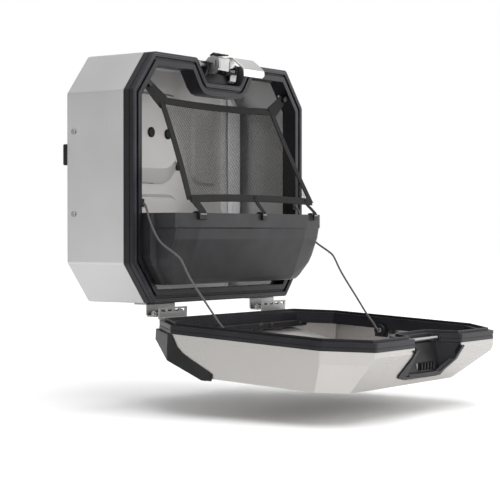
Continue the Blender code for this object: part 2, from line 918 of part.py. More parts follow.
def build_lid_frame(lid):
    outer = flipped(frame_outline(0))
    inner = flipped(frame_outline(FRAME_WIDTH))
    ring = plate("lid_frame", [outer, inner], -BAND, 0.0, "Z", FRAME, lid)
    wall = plate(
        "lid_rim_wall",
        [flipped(frame_outline(FRAME_WIDTH - 0.0025)), inner],
        -0.0200,
        -BAND + 0.001,
        "Z",
        FRAME,
        lid,
    )
    tongue = plate(
        "lid_tongue",
        [flipped(frame_outline(0.0088)), flipped(frame_outline(0.0120))],
        -0.001,
        0.0042,
        "Z",
        FRAME,
        lid,
    )
    line = plate(
        "lid_side_line",
        [flipped(frame_outline(-0.004)), flipped(frame_outline(0.0012))],
        -0.0086,
        -0.0072,
        "Z",
        FRAME,
        lid,
    )
    join(ring, wall)
    join(ring, tongue)
    cut(ring, line)
    for side in (-1, 1):
        ends = sorted((side * 0.2282, side * 0.2315))
        tab = block(
            f"disc_tab_{side}",
            (ends[0], -CORD_DISC_S - 0.013, -0.0350),
            (ends[1], -CORD_DISC_S + 0.013, -0.0100),
            FRAME,
            lid,
        )
        join(ring, tab)


def build_keeper(lid):
    sections = []
    under_band = (BAND + GAP, 0.0770, 0.0540, 0.3820, 0.4205)
    for depth, wide, narrow, floor, top in (under_band, *NOTCH[1:]):
        lift = 0.0010
        depth = min(depth, 0.0690)
        side = min(wide - 0.0012, narrow + (wide - narrow) * 0.9)
        side = 0.0548 if depth > 0.06 else side
        half = [(side, top + lift), (narrow - 0.0012, floor + 0.0010)]
        row = [(x, -s, -depth) for x, s in half] + [(-x, -s, -depth) for x, s in reversed(half)]
        sections.append(row)
    keeper = skin("latch_keeper", sections, 0.0018, BLACK, lid, closed=False)
    for index in range(6):
        x = -0.0120 + 0.0100 * index
        slot = block(
            f"grille_slot_{index}",
            (x - 0.0033, -0.4000, -0.0560),
            (x + 0.0033, -0.3700, -0.0460),
            BLACK,
            lid,
        )
        cut(keeper, slot)
    bar = rod("strike_bar", (0, -0.3912, -0.0062), 0.0025, 0.0930, "X", STEEL, lid, 14)
    bevel(bar, 0.0004)
    return keeper


def build_guards(lid):
    for side, label in ((-1, "l"), (1, "r")):
        outer = cover_solid(f"corner_guard_{label}", GUARD_PROUD, BAND + GAP, BLACK, lid)
        route = [(0.203, 0.004, 0.004), (0.203, 0.004, 0.031), (0.250, 0.067, 0.0535)]
        route += [(0.250, 0.146, 0.0800)]
        run = tube(
            f"guard_run_{label}",
            [(side * x, -s, -d) for x, s, d in route],
            0.0130,
            BLACK,
            lid,
            3,
        )
        bpy.context.view_layer.update()
        graph = bpy.context.evaluated_depsgraph_get()
        mesh = bpy.data.meshes.new_from_object(run.evaluated_get(graph))
        bpy.data.objects.remove(run, do_unlink=True)
        work = bmesh.new()
        work.from_mesh(mesh)
        bmesh.ops.remove_doubles(work, verts=work.verts, dist=1e-5)
        bmesh.ops.recalc_face_normals(work, faces=work.faces)
        solid_run = from_bmesh(f"guard_tube_{label}", work, BLACK, lid)
        boolean(outer, solid_run, "INTERSECT")
        cut(outer, cover_solid(f"guard_inside_{label}", GAP, 0.0, BLACK, lid))


def build_cord_discs(lid):
    for side, label in ((-1, "l"), (1, "r")):
        centre = (side * (CORD_DISC_X + 0.0018), -CORD_DISC_S, -CORD_DISC_D)
        disc = rod(f"cord_disc_{label}", centre, 0.0105, 0.0052, "X", BLACK, lid, 24)
        bevel(disc, 0.0010)


def build_lid_trim(lid):
    rib = block("lid_inner_rib", (0.1150, -0.0200, -0.0280), (0.1750, -0.0030, -0.0205), BLACK, lid)
    bevel(rib, 0.0010)


# ---------------------------------------------------------------- assembly


def main():
    build_shell()
    build_back_panel()
    build_plugs()
    build_frame()
    build_rivets()
    build_tub()
    build_rail()
    build_net()
    build_net_straps()
    build_cords()
    build_case_hinges()

    build_latch_base()
    pivot = bpy.data.objects.new("latch_axis", None)
    parts.objects.link(pivot)
    pivot.location = (0, PIVOT_Y, PIVOT_Z)
    latch_parts = bpy.data.objects.new("latch_body", None)
    parts.objects.link(latch_parts)
    latch_parts.parent = pivot
    latch_parts.location = (0, -PIVOT_Y, -PIVOT_Z)
    build_latch(latch_parts)
    build_lock(latch_parts)

    hinge = bpy.data.objects.new("lid_axis", None)
    parts.objects.link(hinge)
    hinge.location = (0, HINGE_Y, HINGE_Z)
    lid = bpy.data.objects.new("lid_body", None)
    parts.objects.link(lid)
    lid.parent = hinge
    lid.location = (0, LID_Y - HINGE_Y, LID_Z - HINGE_Z)
    lid.rotation_euler = (LID_TILT, 0, 0)
    build_lid_frame(lid)
    build_lid_shell(lid)
    build_keeper(lid)
    build_guards(lid)
    build_cord_discs(lid)
    build_lid_hinges(lid)
    build_lid_trim(lid)

    for obj in bpy.data.objects:
        if obj.parent is None:
            obj.location.y -= RAIL_FACE
            obj.location.z -= RAIL_Z
    bpy.context.view_layer.update()


main()
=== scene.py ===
import json
import math

import bmesh
import bpy
from mathutils import Matrix, Vector


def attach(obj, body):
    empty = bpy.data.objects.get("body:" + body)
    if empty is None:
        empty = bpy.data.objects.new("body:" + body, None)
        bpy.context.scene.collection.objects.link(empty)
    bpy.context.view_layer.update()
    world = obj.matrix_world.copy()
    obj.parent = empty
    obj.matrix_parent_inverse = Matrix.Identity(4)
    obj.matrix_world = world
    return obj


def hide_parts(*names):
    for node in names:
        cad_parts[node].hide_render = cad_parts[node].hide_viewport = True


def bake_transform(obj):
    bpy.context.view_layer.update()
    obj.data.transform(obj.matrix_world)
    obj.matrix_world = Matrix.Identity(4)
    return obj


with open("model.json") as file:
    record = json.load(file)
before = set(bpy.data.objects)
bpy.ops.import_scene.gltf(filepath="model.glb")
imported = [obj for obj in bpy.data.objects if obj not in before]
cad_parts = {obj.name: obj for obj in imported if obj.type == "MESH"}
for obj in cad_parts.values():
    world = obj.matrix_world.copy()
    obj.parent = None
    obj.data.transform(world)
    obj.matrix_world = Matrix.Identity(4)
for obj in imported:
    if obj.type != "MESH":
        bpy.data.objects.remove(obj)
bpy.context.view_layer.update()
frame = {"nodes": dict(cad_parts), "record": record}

NODES = frame["nodes"]
BODY_OF = {n: body for body, names in frame["record"]["behaviour"]["bodies"].items() for n in names}
SLOT_OF = {part["node"]: part["material_slot"] for part in frame["record"]["subparts"]}

# The case's own frame: back wall on y = BACK, underside on z = BASE
BACK = -0.012
BASE = -0.251


def place(x, y, z):
    """A point given in the case's own frame, in the row's frame."""
    return Vector((x, y + BACK, z + BASE))


# The lid's own frame at rest: S out from the hinge edge, D below the plane of its flange
LID_TILT = math.radians(3)
LID_EDGE = place(0, -0.1582, -0.0267)


def lid_place(x, s, d):
    c, t = math.cos(LID_TILT), math.sin(LID_TILT)
    return LID_EDGE + Vector((x, -s * c + d * t, -s * t - d * c))


LID_TURN = Matrix.Translation(LID_EDGE) @ Matrix.Rotation(LID_TILT, 4, "X")


# ---------------------------------------------------------------- finishes


class Term:
    """A socket in a material that can be added, multiplied and so on."""

    def __init__(self, finish, socket):
        self.finish = finish
        self.socket = socket

    def using(self, operation, *others):
        return self.finish.node("ShaderNodeMath", {"operation": operation}, [self, *others])

    def __add__(self, other):
        return self.using("ADD", other)

    __radd__ = __add__

    def __mul__(self, other):
        return self.using("MULTIPLY", other)

    __rmul__ = __mul__

    def __sub__(self, other):
        return self.using("SUBTRACT", other)

    def __rsub__(self, other):
        return self.finish.node("ShaderNodeMath", {"operation": "SUBTRACT"}, [other, self])

    def __truediv__(self, other):
        return self.using("DIVIDE", other)

    def __pow__(self, other):
        return self.using("POWER", other)

    def sine(self):
        return self.using("SINE")

    def larger(self, other):
        return self.using("MAXIMUM", other)

    def size(self):
        return self.using("ABSOLUTE")


class Finish:
    """A material with one Principled shader, and one way to add any other node."""

    def __init__(self, name, **constants):
        self.material = bpy.data.materials.new(name)
        self.material.use_nodes = True
        self.tree = self.material.node_tree
        self.shader = self.tree.nodes["Principled BSDF"]
        for socket, value in constants.items():
            self.shader.inputs[socket.replace("_", " ")].default_value = value

    def node(self, kind, settings=None, sockets=(), output=0):
        made = self.tree.nodes.new(kind)
        for name, value in (settings or {}).items():
            if name == "stops":
                ramp = made.color_ramp
                while len(ramp.elements) < len(value):
                    ramp.elements.new(0.5)
                for stop, (position, colour) in zip(ramp.elements, value):
                    stop.position = position
                    stop.color = colour
            else:
                setattr(made, name, value)
        pairs = sockets.items() if isinstance(sockets, dict) else enumerate(sockets)
        for key, value in pairs:
            if isinstance(value, Term):
                self.tree.links.new(value.socket, made.inputs[key])
            else:
                made.inputs[key].default_value = value
        return Term(self, made.outputs[output])

    def feed(self, socket, term):
        self.tree.links.new(term.socket, self.shader.inputs[socket])

    def spot(self, stretch=(1, 1, 1), turn=(0, 0, 0)):
        """Object coordinates, stretched and turned."""
        where = self.node("ShaderNodeTexCoord", output="Object")
        sockets = {"Vector": where, "Scale": stretch, "Rotation": turn}
        return self.node("ShaderNodeMapping", {}, sockets)

    def noise(self, spot, scale, detail=2.0, roughness=0.5, output="Fac"):
        sockets = {"Vector": spot, "Scale": scale, "Detail": detail, "Roughness": roughness}
        return self.node("ShaderNodeTexNoise", {}, sockets, output)

    def spread(self, term, low, high, bottom=0.0, top=1.0):
        """A value from low to high brought to bottom to top, and held there."""
        sockets = {"Value": term, "From Min": low, "From Max": high, "To Min": bottom, "To Max": top}
        return self.node("ShaderNodeMapRange", {"clamp": True}, sockets)

    def between(self, share, first, second):
        """A colour between two, by a share from 0 to 1."""
        made = self.tree.nodes.new("ShaderNodeMix")
        made.data_type = "RGBA"
        self.tree.links.new(share.socket, made.inputs["Factor"])
        for key, value in (("A", first), ("B", second)):
            socket = [s for s in made.inputs if s.name == key and s.type == "RGBA"][0]
            if isinstance(value, Term):
                self.tree.links.new(value.socket, socket)
            else:
                socket.default_value = value
        out = [s for s in made.outputs if s.type == "RGBA"][0]
        return Term(self, out)

    def relief(self, height, distance, strength=1.0):
        sockets = {"Height": height, "Distance": distance, "Strength": strength}
        self.feed("Normal", self.node("ShaderNodeBump", {}, sockets, "Normal"))


def grey(level, warm=0.0):
    return (level * (1 + warm), level, level * (1 - warm), 1.0)


def sheet_metal(name, level, warm, roughness, grain_along, seed, metallic=1.0):
    """Satin anodised aluminium with fine brushing."""
    finish = Finish(name, Metallic=metallic)
    stretch = {"X": (0.012, 1, 1), "Z": (1, 1, 0.012)}[grain_along]
    fine = finish.noise(finish.spot(stretch), 900.0, 3.0, 0.6)
    broad = finish.noise(finish.spot((1, 1, 1), (seed, 0.3, 0.1)), 7.0, 3.0, 0.55)
    specks = finish.noise(finish.spot(), 260.0, 2.0)
    share = finish.spread(broad, 0.3, 0.7) * 0.6 + finish.spread(fine, 0.3, 0.7) * 0.4
    finish.feed("Base Color", finish.between(share, grey(level * 0.94, warm), grey(level * 1.05, warm)))
    rough = finish.spread(fine, 0.25, 0.75, roughness - 0.04, roughness + 0.05)
    finish.feed("Roughness", rough + finish.spread(broad, 0.3, 0.7, -0.03, 0.03))
    finish.relief(fine * 0.7 + specks * 0.3, 0.00004, 0.5)
    return finish.material


def moulded_plastic(name, colour, roughness, grain=0.00006, scale=1500.0):
    """Moulded plastic with a spark-eroded grain and a broad random tone."""
    finish = Finish(name, Specular_IOR_Level=0.26)
    grain_noise = finish.noise(finish.spot(), scale, 2.0, 0.6)
    broad = finish.noise(finish.spot(), 22.0, 3.0, 0.6)
    light = tuple(c * 1.22 + 0.004 for c in colour) + (1.0,)
    dark = tuple(c * 0.84 for c in colour) + (1.0,)
    finish.feed("Base Color", finish.between(finish.spread(broad, 0.3, 0.7), dark, light))
    rough = finish.spread(grain_noise, 0.3, 0.7, roughness - 0.06, roughness + 0.08)
    finish.feed("Roughness", rough)
    finish.relief(grain_noise, grain, 0.55)
    return finish.material


def cast_metal(name, level, roughness):
    finish = Finish(name, Metallic=1.0)
    pits = finish.noise(finish.spot(), 700.0, 3.0, 0.6)
    broad = finish.noise(finish.spot(), 60.0, 2.0)
    finish.feed("Base Color", finish.between(broad, grey(level * 0.86, 0.01), grey(level * 1.1, 0.01)))
    finish.feed("Roughness", finish.spread(pits, 0.3, 0.7, roughness - 0.05, roughness + 0.1))
    finish.relief(pits, 0.00006, 0.5)
    return finish.material


def woven(name, level, pitch, tilt=0.0):
    """Flat-woven webbing: ribs across a twill."""
    finish = Finish(name, Roughness=0.9, Sheen_Weight=0.03, Sheen_Roughness=0.5, Specular_IOR_Level=0.15)
    spot = finish.spot((1, 1, 1), (0.5, 0.2, tilt))
    parts = finish.node("ShaderNodeSeparateXYZ", {}, [spot])
    x = Term(finish, parts.socket.node.outputs["X"])
    z = Term(finish, parts.socket.node.outputs["Z"])
    turns = 2 * math.pi / pitch
    warp = (x * turns + (z * turns).sine() * 1.2).sine()
    weft = (z * turns).sine()
    weave = (warp * weft) * 0.5 + 0.5
    fuzz = finish.noise(finish.spot(), 1800.0, 2.0)
    share = weave * 0.7 + fuzz * 0.3
    finish.feed("Base Color", finish.between(share, grey(level * 0.55), grey(level * 1.5)))
    finish.relief(share, 0.0003, 0.7)
    return finish.material


def braided(name, level):
    """Braided sheath, read from the cord's own map: U round it, V along it in turns of the braid."""
    finish = Finish(name, Roughness=0.75, Sheen_Weight=0.1)
    where = finish.node("ShaderNodeTexCoord", output="UV")
    parts = finish.node("ShaderNodeSeparateXYZ", {}, [where])
    u = Term(finish, parts.socket.node.outputs["X"])
    v = Term(finish, parts.socket.node.outputs["Y"])
    left = (u * (8 * 2 * math.pi) + v * (2 * math.pi)).sine()
    right = (u * (8 * 2 * math.pi) - v * (2 * math.pi)).sine()
    strands = left.larger(right) * 0.5 + 0.5
    fuzz = finish.noise(finish.spot(), 2500.0, 2.0)
    share = strands * 0.75 + fuzz * 0.25
    finish.feed("Base Color", finish.between(share, grey(level * 0.45), grey(level * 1.35)))
    finish.relief(strands, 0.0003, 0.6)
    return finish.material


def rubber(name, level):
    finish = Finish(name)
    dust = finish.noise(finish.spot(), 180.0, 4.0, 0.7)
    finish.feed("Base Color", finish.between(dust, grey(level * 0.8), grey(level * 1.4)))
    finish.feed("Roughness", finish.spread(dust, 0.3, 0.7, 0.62, 0.8))
    finish.relief(dust, 0.00005, 0.5)
    return finish.material


FINISHES = {
    "aluminium_body": sheet_metal("satin_aluminium_body", 0.56, 0.0, 0.36, "Z", 0.2),
    # The lid's aluminium is a darker copy of the body's: painted shade over the whole lid.
    "aluminium_lid": sheet_metal("satin_aluminium_lid_painted_shade", 0.43, 0.035, 0.30, "X", 0.9),
    # The lever's aluminium is a lighter copy of the body's: a painted highlight on the lever.
    "aluminium_lever": sheet_metal("lever_painted_highlight", 0.60, 0.01, 0.32, "X", 0.5),
    "aluminium_inside": sheet_metal("aluminium_inside", 0.58, 0.025, 0.40, "Z", 0.4, 0.35),
    # Pale, nearly matt aluminium: a painted highlight standing in for the bright reflection band on the
    # back's right rib.
    "rib_aluminium_painted_highlight": sheet_metal("rib_aluminium_painted_highlight", 0.86, 0.0, 0.5, "Z", 0.7, 0.15),
    "cast_latch": cast_metal("cast_latch_metal", 0.42, 0.40),
    "stainless": cast_metal("stainless_steel", 0.34, 0.38),
    "frame_plastic": moulded_plastic("frame_moulding", (0.0062, 0.0058, 0.0085), 0.36),
    # A lighter plastic for the frame's raised lines: a painted highlight along them.
    "frame_painted_highlight": moulded_plastic("frame_painted_highlight", (0.040, 0.038, 0.046), 0.30),
    "tub_plastic": moulded_plastic("tub_moulding", (0.0185, 0.0185, 0.0205), 0.42),
    "black_plastic": moulded_plastic("black_moulding", (0.0050, 0.0050, 0.0060), 0.42),
    "seal_rubber": rubber("seal_rubber", 0.012),
    "net_mesh": woven("net_yarn", 0.0085, 0.0011),
    "webbing": woven("black_webbing", 0.0130, 0.0016, 0.6),
    "cord_sheath": braided("cord_braid", 0.065),
}


# ---------------------------------------------------------------- shop tools


def only(obj):
    """Selects one object and nothing else, and makes it the active one."""
    bpy.ops.object.select_all(action="DESELECT")
    obj.select_set(True)
    bpy.context.view_layer.objects.active = obj
    return obj


def modified(obj, kind, **settings):
    modifier = obj.modifiers.new(kind.lower(), kind)
    for name, value in settings.items():
        setattr(modifier, name, value)
    only(obj)
    bpy.ops.object.modifier_apply(modifier=modifier.name)
    return obj


def eased(obj, width, segments=2, angle=30):
    """Edges rounded, with the flats between them kept flat."""
    modified(
        obj,
        "BEVEL",
        width=width,
        segments=segments,
        limit_method="ANGLE",
        angle_limit=math.radians(angle),
    )
    smoothed(obj, 48)
    return modified(obj, "WEIGHTED_NORMAL", weight=80, keep_sharp=True)


def eased_sheet(obj, fold, rim, segments=3, least=3):
    """A sheet's folds rounded by FOLD and its cut rims by RIM, which is under half the sheet."""
    work = bmesh.new()
    work.from_mesh(obj.data)
    weight = work.edges.layers.float.new("bevel_weight_edge")
    for edge in work.edges:
        if len(edge.link_faces) == 2:
            bend = math.degrees(edge.calc_face_angle())
            edge[weight] = rim / fold if bend > 65 else 1.0 if bend > least else 0.0
    work.to_mesh(obj.data)
    work.free()
    modified(obj, "BEVEL", width=fold, segments=segments, limit_method="WEIGHT")
    smoothed(obj, 48)
    return modified(obj, "WEIGHTED_NORMAL", weight=80, keep_sharp=True)


def smoothed(obj, angle=32):
    only(obj)
    bpy.ops.object.shade_smooth_by_angle(angle=math.radians(angle))
    return obj


def settled(obj):
    """Leaves the object at the origin, unturned and unscaled, with its place in its mesh."""
    only(obj)
    bpy.ops.object.transform_apply(location=True, rotation=True, scale=True)
    return obj


def given(obj, slot, body, *replaced, finish=None):
    """Finish, slot, body and the CAD nodes it stands for."""
    obj.data.materials.clear()
    obj.data.materials.append(FINISHES[finish or slot])
    if body:
        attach(obj, body)
    if replaced:
        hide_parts(*replaced)
    return obj


def cleaned(node, name):
    """A merged copy of a CAD node's mesh, with its flat faces whole again."""
    source = NODES[node]
    piece = bpy.data.objects.new(name, source.data.copy())
    bpy.context.scene.collection.objects.link(piece)
    only(piece)
    bpy.ops.object.mode_set(mode="EDIT")
    bpy.ops.mesh.select_all(action="SELECT")
    bpy.ops.mesh.remove_doubles(threshold=0.00002)
    bpy.ops.mesh.dissolve_limited(angle_limit=math.radians(0.6))
    bpy.ops.object.mode_set(mode="OBJECT")
    return piece


def finished(node, name, width=0.0006, segments=2, angle=30):
    piece = cleaned(node, name)
    eased(piece, width, segments, angle)
    return given(piece, SLOT_OF[node], BODY_OF[node], node)


def new_piece(name, work):
    mesh = bpy.data.meshes.new(name)
    work.to_mesh(mesh)
    work.free()
    obj = bpy.data.objects.new(name, mesh)
    bpy.context.scene.collection.objects.link(obj)
    return obj


AIMS = {
    "X": (0, math.pi / 2, 0),
    "-X": (0, -math.pi / 2, 0),
    "Y": (-math.pi / 2, 0, 0),
    "-Y": (math.pi / 2, 0, 0),
    "Z": (0, 0, 0),
    "-Z": (math.pi, 0, 0),
}


def turned(name, profile, centre, aim, sides=32):
    """A lathe-turned piece: (radius, height) steps from a closed base up to a closed end."""
    radius, height = profile[0]
    bpy.ops.object.select_all(action="DESELECT")
    bpy.ops.mesh.primitive_circle_add(
        vertices=sides, radius=radius, fill_type="NGON", location=(0, 0, height)
    )
    obj = bpy.context.active_object
    obj.name = name
    bpy.ops.object.transform_apply(location=True, rotation=True, scale=True)
    bpy.ops.object.mode_set(mode="EDIT")
    bpy.ops.mesh.select_all(action="SELECT")
    for after, top in profile[1:]:
        bpy.ops.mesh.extrude_region_move(TRANSFORM_OT_translate={"value": (0, 0, top - height)})
        share = after / radius
        bpy.ops.transform.resize(value=(share, share, 1), center_override=(0, 0, top))
        radius, height = after, top
    bpy.ops.mesh.select_all(action="SELECT")
    bpy.ops.mesh.normals_make_consistent(inside=False)
    bpy.ops.object.mode_set(mode="OBJECT")
    obj.rotation_euler = AIMS[aim]
    obj.location = centre
    return smoothed(settled(obj), 40)


def block(name, low, high, width=0.0006, segments=2):
    """A rectangular piece with eased edges."""
    bpy.ops.object.select_all(action="DESELECT")
    middle = [(a + b) / 2 for a, b in zip(low, high)]
    bpy.ops.mesh.primitive_cube_add(size=1, location=middle)
    obj = bpy.context.active_object
    obj.name = name
    obj.scale = [abs(b - a) for a, b in zip(low, high)]
    settled(obj)
    if width:
        eased(obj, width, segments)
    return obj


def lid_turned(obj):
    """Moves a piece drawn in the lid's own axes (X, -S, -D) to where the lid lies."""
    obj.matrix_world = LID_TURN
    return settled(obj)


def joined(name, pieces):
    bpy.ops.object.select_all(action="DESELECT")
    for piece in pieces:
        piece.select_set(True)
    bpy.context.view_layer.objects.active = pieces[0]
    if len(pieces) > 1:
        bpy.ops.object.join()
    pieces[0].name = name
    return pieces[0]


def prism(name, outline, low, high, along, width=0.0005, segments=2):
    """A flat outline pulled from low to high along X (outline in Y, Z), Y (X, Z) or Z (X, Y)."""
    bpy.ops.object.select_all(action="DESELECT")
    bpy.ops.mesh.primitive_circle_add(vertices=len(outline), radius=0.01, fill_type="NGON")
    obj = bpy.context.active_object
    obj.name = name
    for vertex, (a, b) in zip(obj.data.vertices, outline):
        vertex.co = {"X": (low, a, b), "Y": (a, low, b), "Z": (a, b, low)}[along]
    pull = Vector({"X": (1, 0, 0), "Y": (0, 1, 0), "Z": (0, 0, 1)}[along]) * (high - low)
    bpy.ops.object.mode_set(mode="EDIT")
    bpy.ops.mesh.select_all(action="SELECT")
    bpy.ops.mesh.extrude_region_move(TRANSFORM_OT_translate={"value": pull})
    bpy.ops.mesh.select_all(action="SELECT")
    bpy.ops.mesh.normals_make_consistent(inside=False)
    bpy.ops.object.mode_set(mode="OBJECT")
    settled(obj)
    if width:
        eased(obj, width, segments)
    return obj


def cut_with(obj, cutters):
    """Takes the cutters out of the piece and clears them away."""
    for cutter in cutters:
        modified(obj, "BOOLEAN", object=cutter, operation="DIFFERENCE", solver="EXACT")
        bpy.data.objects.remove(cutter, do_unlink=True)
    return obj


def in_case(obj):
    """Moves a piece drawn in the case's own frame to where the case stands."""
    obj.location = place(0, 0, 0)
    return settled(obj)


def webbing(name, path, across, width, thickness, step=0.004):
    """A flat strap along a path, its width lying along ACROSS."""
    route = smooth_route([Vector(p) for p in path], step)
    work = bmesh.new()
    layer = work.loops.layers.uv.new("UVMap")
    rows = []
    lengths = [0.0]
    for i, here in enumerate(route):
        if i:
            lengths.append(lengths[-1] + (here - route[i - 1]).length)
        share = i / (len(route) - 1)
        side = (Vector(across[0]).lerp(Vector(across[-1]), share)).normalized()
        half = (width[0] + (width[-1] - width[0]) * share) / 2
        rows.append([work.verts.new(here + side * half * t) for t in (-1, -0.5, 0, 0.5, 1)])
    for i, (row, after) in enumerate(zip(rows, rows[1:])):
        for k in range(4):
            face = work.faces.new((row[k], row[k + 1], after[k + 1], after[k]))
            slot_shade_strips = ((k, i), (k + 1, i), (k + 1, i + 1), (k, i + 1))
            for loop, (u, v) in zip(face.loops, slot_shade_strips):
                loop[layer].uv = (u * width[0] / 4, lengths[v])
    strap = new_piece(name, work)
    modified(strap, "SOLIDIFY", thickness=thickness, offset=0)
    return eased(strap, thickness * 0.3, 2)


# ---------------------------------------------------------------- cords


def smooth_route(points, step):
    """A Catmull-Rom line through the points, cut into short even steps."""
    found = []
    count = len(points)
    for i in range(count - 1):
        a = points[max(i - 1, 0)]
        b, c = points[i], points[i + 1]
        d = points[min(i + 2, count - 1)]
        cuts = max(2, round((c - b).length / step))
        for k in range(cuts):
            t = k / cuts
            found.append(
                0.5
                * (
                    2 * b
                    + (c - a) * t
                    + (2 * a - 5 * b + 4 * c - d) * t * t
                    + (3 * b - a - 3 * c + d) * t * t * t
                )
            )
    found.append(points[-1])
    return found


def cord_tube(name, route, radius, sides=16, pitch=0.0065):
    """A round braided tube with its own map: U round it, V along it."""
    work = bmesh.new()
    layer = work.loops.layers.uv.new("UVMap")
    side = Vector((1, 0, 0))
    rings = []
    lengths = [0.0]
    for i, here in enumerate(route):
        ahead = route[min(i + 1, len(route) - 1)] - route[max(i - 1, 0)]
        ahead.normalize()
        side = (side - ahead * side.dot(ahead)).normalized()
        over = ahead.cross(side)
        ring = []
        for k in range(sides):
            angle = 2 * math.pi * k / sides
            ring.append(work.verts.new(here + (side * math.cos(angle) + over * math.sin(angle)) * radius))
        rings.append(ring)
        if i:
            lengths.append(lengths[-1] + (here - route[i - 1]).length)
    for i in range(len(rings) - 1):
        for k in range(sides):
            n = (k + 1) % sides
            face = work.faces.new((rings[i][k], rings[i][n], rings[i + 1][n], rings[i + 1][k]))
            face.smooth = True
            slot_shade_strips = ((k, i), (k + 1, i), (k + 1, i + 1), (k, i + 1))
            for loop, (u, v) in zip(face.loops, slot_shade_strips):
                loop[layer].uv = (u / sides, lengths[v] / pitch)
    work.faces.new(rings[0][::-1])
    work.faces.new(rings[-1])
    bmesh.ops.recalc_face_normals(work, faces=work.faces)
    return new_piece(name, work), lengths[-1]


CORD_ROUTE = (
    (0.2255, -0.1490, 0.1675),
    (0.2260, -0.1535, 0.1640),
    (0.2268, -0.1578, 0.1555),
    (0.2277, -0.1625, 0.1432),
    (0.2290, -0.1712, 0.1270),
    (0.2300, -0.1812, 0.1120),
    (0.2305, -0.1890, 0.1035),
    (0.2305, -0.1990, 0.0962),
    (0.2305, -0.2110, 0.0892),
    (0.2305, -0.2220, 0.0826),
    (0.2305, -0.2305, 0.0760),
    (0.2303, -0.2370, 0.0660),
    (0.2300, -0.2440, 0.0535),
    (0.2295, -0.2520, 0.0415),
    (0.2285, -0.2640, 0.0255),
    (0.2272, -0.2790, 0.0065),
    (0.2255, -0.2950, -0.0140),
    (0.2238, -0.3085, -0.0310),
    (0.2205, -0.3230, -0.0452),
    (0.2190, -0.3300, -0.0535),
)


def build_cords():
    """The two stay cords, each from its anchor in the case to its disc in the lid."""
    end = lid_place(0.2183, 0.179, 0.0225)
    half = [place(*spot) for spot in CORD_ROUTE] + [end]
    for side, label in ((-1, "l"), (1, "r")):
        points = [Vector((p.x * side, p.y, p.z)) for p in half]
        route = smooth_route(points, 0.0020)
        cord, length = cord_tube(f"braided_cord_{label}", route, 0.00175)
        given(cord, "cord_sheath", None, f"stay_cord_{label}")
        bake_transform(cord)


# ---------------------------------------------------------------- cargo net

NET_TOP = place(0, -0.1370, 0.3420)
NET_BASE = place(0, -0.2125, 0.1725)
NET_OUT = Vector((0, -(NET_TOP.z - NET_BASE.z), NET_TOP.y - NET_BASE.y)).normalized()


def net_spot(u, v, out=0.0):
    """A point of the net: u from -1 to 1 across, v from 0 at its top to 1 at its foot."""
    waist = 1 - 0.020 * math.sin(math.pi * v)
    half = (0.163 + 0.020 * v) * waist
    bow = -0.0035 * math.sin(math.pi * v) * (1 - u * u)
    dip = 0.004 * (1 - u * u) * (1 - 2 * v)
    spot = NET_TOP.lerp(NET_BASE, v) + Vector((u * half, 0, 0))
    return spot + (NET_BASE - NET_TOP).normalized() * dip + NET_OUT * (bow + out)


def build_net():
    across, down = 70, 39
    bpy.ops.object.select_all(action="DESELECT")
    bpy.ops.mesh.primitive_grid_add(x_subdivisions=across, y_subdivisions=down, size=2)
    net = bpy.context.active_object
    net.name = "net_lattice"
    bpy.ops.object.mode_set(mode="EDIT")
    bpy.ops.mesh.select_all(action="SELECT")
    bpy.ops.mesh.poke()
    bpy.ops.object.mode_set(mode="OBJECT")
    work = bmesh.new()
    work.from_mesh(net.data)
    straight = [e for e in work.edges if not e.is_boundary and is_square(e)]
    bmesh.ops.dissolve_edges(work, edges=straight, use_verts=False)
    work.to_mesh(net.data)
    work.free()
    for vertex in net.data.vertices:
        u, v = vertex.co.x, (1 - vertex.co.y) / 2
        vertex.co = net_spot(u * 0.97, 0.02 + v * 0.96)
    modified(net, "WIREFRAME", thickness=0.00078, use_even_offset=False, use_boundary=True)
    smoothed(net, 40)
    given(net, "net_mesh", "case", "cargo_net")

    bands = []
    for name, corners in (
        ("top", [(-1 + k / 8, 0.0) for k in range(17)]),
        ("foot", [(-1 + k / 8, 1.0) for k in range(17)]),
        ("left", [(-1, k / 12) for k in range(13)]),
        ("right", [(1, k / 12) for k in range(13)]),
    ):
        path = [net_spot(u, v, 0.0004) for u, v in corners]
        lies = [(NET_BASE - NET_TOP).normalized()] if name in ("top", "foot") else [(1, 0, 0)]
        if name == "foot":
            path = [p + Vector((0, 0, 0.002)) for p in path]
        bands.append(webbing(f"net_binding_{name}", path, lies, [0.0135], 0.0021))
    for band in bands:
        given(band, "webbing", "case")


def is_square(edge):
    """Whether the edge runs along the grid, not across a square."""
    a, b = (v.co for v in edge.verts)
    return abs(a.x - b.x) < 1e-6 or abs(a.y - b.y) < 1e-6


